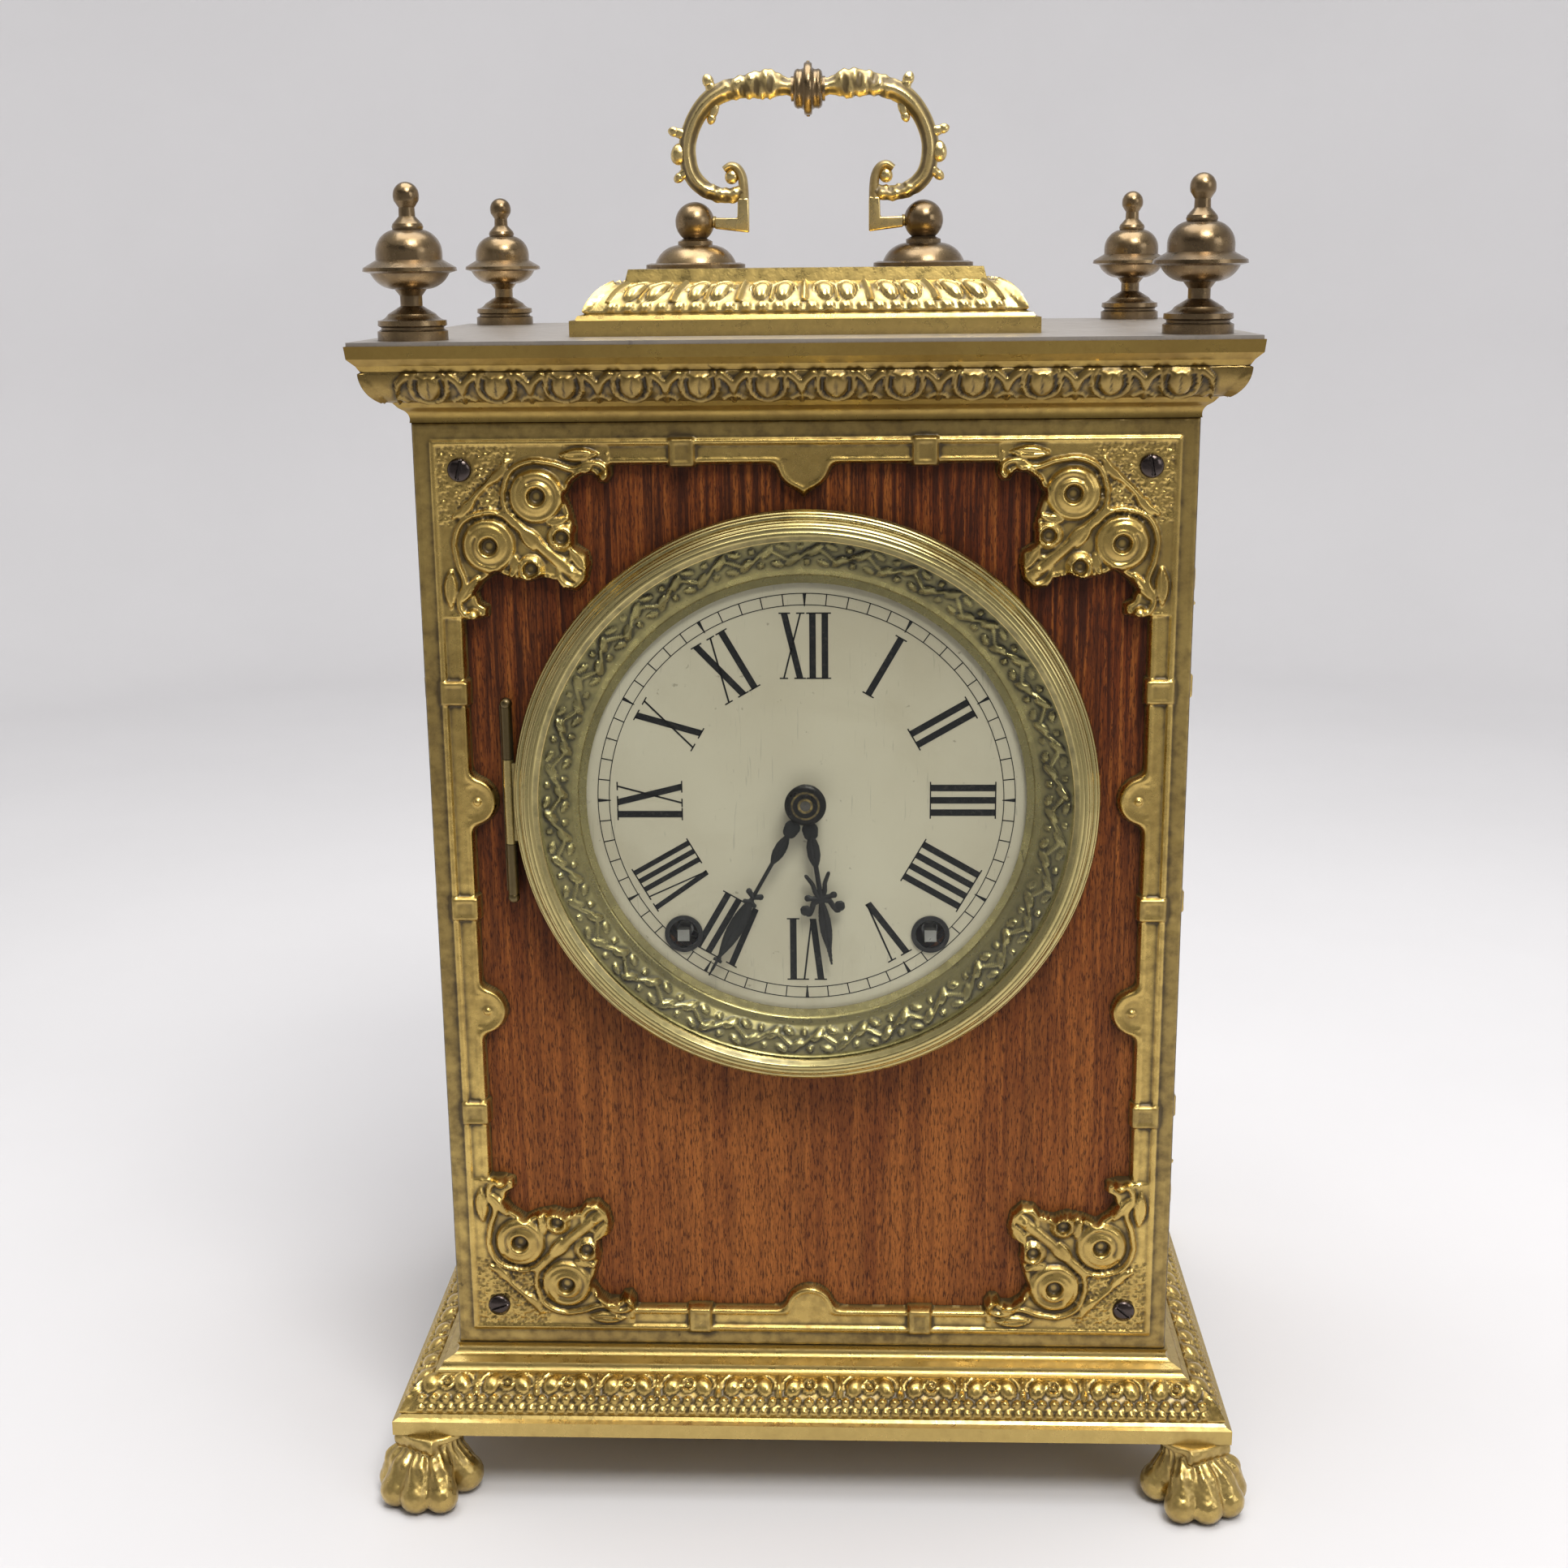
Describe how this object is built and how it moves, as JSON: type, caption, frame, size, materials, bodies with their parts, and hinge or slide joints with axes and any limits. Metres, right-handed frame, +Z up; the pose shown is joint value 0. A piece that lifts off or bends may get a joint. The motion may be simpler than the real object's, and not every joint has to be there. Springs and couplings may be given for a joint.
{
  "type": "bracket clock",
  "caption": "Oak bracket clock with cast brass mounts, a folding carrying handle, turned finials, paw feet, a hinged glazed bezel, a back door and a spring movement with pendulum and gong.",
  "frame": {"origin": "centre of the rectangle that the four feet stand in, on the table", "axes": "+Z up, -Y out of the dial, +X to the right for a person facing the dial"},
  "size_m": [0.2762, 0.2208, 0.4424],
  "materials": {
    "gilt_brass": "antique gilt, worn on the high points, brown in the hollows",
    "plain_brass": "aged polished brass",
    "bronze": "dark toned brass, brighter where hands rub it",
    "oak": "waxed dark oak with open grain and lighter ray flecks",
    "door_brass": "aged brass",
    "dial_silver": "silvered brass, worn, with black engraved figures",
    "black_metal": "blued black steel",
    "clear_glass": "clear bevelled glass",
    "steel": "grey steel, lightly brushed",
    "movement_brass": "grained movement brass",
    "iron": "black cast iron"
  },
  "bodies": {
    "case": {"back_door_hinges": "door_brass", "back_frame": "gilt_brass", "base_board": "oak", "base_moulding": "gilt_brass", "bezel_hinge": "plain_brass", "corner_posts": "oak", "cornice": "gilt_brass", "dial_plate": "dial_silver", "finial_front_left": "bronze", "finial_front_right": "bronze", "finial_rear_left": "bronze", "finial_rear_right": "bronze", "foot_screws": "steel", "front_frame": "gilt_brass", "front_frame_screws": "plain_brass", "front_panel": "oak", "gong_block": "iron", "gong_coil": "steel", "handle_post_left": "bronze", "handle_post_right": "bronze", "left_side_frame": "gilt_brass", "left_side_panel": "oak", "movement_back_plate": "movement_brass", "movement_front_plate": "movement_brass", "movement_pillars": "movement_brass", "paw_foot_front_left": "gilt_brass", "paw_foot_front_right": "gilt_brass", "paw_foot_rear_left": "gilt_brass", "paw_foot_rear_right": "gilt_brass", "pillar_nuts": "steel", "right_side_frame": "gilt_brass", "right_side_panel": "oak", "strike_mainspring": "steel", "suspension_cock": "movement_brass", "time_mainspring": "steel", "top_plate": "plain_brass", "upper_plinth": "gilt_brass", "winding_grommets": "black_metal"},
    "handle": {"handle_bail": "bronze", "handle_knop": "bronze"},
    "bezel": {"bezel_rim": "plain_brass", "bezel_glass": "clear_glass", "sight_ring": "plain_brass"},
    "back_door": {"back_door": "oak"},
    "latch": {"back_door_latch": "door_brass"},
    "minute": {"minute_arbor": "steel", "minute_hand": "black_metal", "hand_nut": "black_metal"},
    "hour": {"hour_wheel": "movement_brass", "hour_hand": "black_metal"},
    "minute_wheel": {"minute_wheel": "movement_brass"},
    "second_wheel": {"second_wheel": "movement_brass"},
    "time_great": {"time_great_wheel": "movement_brass"},
    "strike_great": {"strike_great_wheel": "movement_brass"},
    "time_winder": {"time_winding_arbor": "steel"},
    "strike_winder": {"strike_winding_arbor": "steel"},
    "pendulum": {"pendulum_rod": "steel", "pendulum_bob": "movement_brass"},
    "verge": {"verge": "steel"},
    "hammer": {"strike_hammer": "steel"}
  },
  "joints": [
    {"name": "handle_swing", "type": "hinge", "parent": "case", "child": "handle", "pos_m": [0, 0, 0.3943], "axis": [1, 0, 0], "range_deg": [-85, 85]},
    {"name": "bezel_swing", "type": "hinge", "parent": "case", "child": "bezel", "pos_m": [-0.0889, -0.08055, 0.2255], "axis": [0, 0, -1], "range_deg": [0, 95]},
    {"name": "back_door_swing", "type": "hinge", "parent": "case", "child": "back_door", "pos_m": [-0.1005, 0.08125, 0.19145], "axis": [0, 0, 1], "range_deg": [0, 110]},
    {"name": "latch_turn", "type": "hinge", "parent": "back_door", "child": "latch", "pos_m": [0.0895, 0.08, 0.19145], "axis": [0, 1, 0], "range_deg": [0, 90]},
    {"name": "minute_turn", "type": "hinge", "parent": "case", "child": "minute", "pos_m": [0, -0.06, 0.2255], "axis": [0, 1, 0], "continuous": true},
    {"name": "hour_turn", "type": "hinge", "parent": "case", "child": "hour", "pos_m": [0, -0.07, 0.2255], "axis": [0, 1, 0], "continuous": true},
    {"name": "minute_wheel_turn", "type": "hinge", "parent": "case", "child": "minute_wheel", "pos_m": [-0.012, -0.062, 0.2255], "axis": [0, 1, 0], "continuous": true},
    {"name": "second_wheel_turn", "type": "hinge", "parent": "case", "child": "second_wheel", "pos_m": [0.01862, -0.04, 0.21578], "axis": [0, 1, 0], "continuous": true},
    {"name": "time_great_turn", "type": "hinge", "parent": "case", "child": "time_great", "pos_m": [0.0375, -0.0538, 0.1835], "axis": [0, 1, 0], "continuous": true},
    {"name": "strike_great_turn", "type": "hinge", "parent": "case", "child": "strike_great", "pos_m": [-0.0375, -0.0538, 0.1835], "axis": [0, 1, 0], "continuous": true},
    {"name": "time_winding_turn", "type": "hinge", "parent": "case", "child": "time_winder", "pos_m": [0.0375, -0.06, 0.1835], "axis": [0, 1, 0], "continuous": true},
    {"name": "strike_winding_turn", "type": "hinge", "parent": "case", "child": "strike_winder", "pos_m": [-0.0375, -0.06, 0.1835], "axis": [0, 1, 0], "continuous": true},
    {"name": "pendulum_swing", "type": "hinge", "parent": "case", "child": "pendulum", "pos_m": [0, -0.01505, 0.2595], "axis": [0, 1, 0], "range_deg": [-4, 4]},
    {"name": "verge_rock", "type": "hinge", "parent": "case", "child": "verge", "pos_m": [0, -0.04, 0.2595], "axis": [0, 1, 0], "range_deg": [-4, 4]},
    {"name": "hammer_lift", "type": "hinge", "parent": "case", "child": "hammer", "pos_m": [0.05, -0.03, 0.14815], "axis": [0, 1, 0], "range_deg": [0, 25]}
  ],
  "couplings": [
    {"joint": "hour_turn", "follows": "minute_turn", "ratio": 0.083333},
    {"joint": "minute_wheel_turn", "follows": "minute_turn", "ratio": -0.33333},
    {"joint": "second_wheel_turn", "follows": "minute_turn", "ratio": -0.16667},
    {"joint": "time_great_turn", "follows": "minute_turn", "ratio": 0.022222},
    {"joint": "verge_rock", "follows": "pendulum_swing", "ratio": 1}
  ]
}
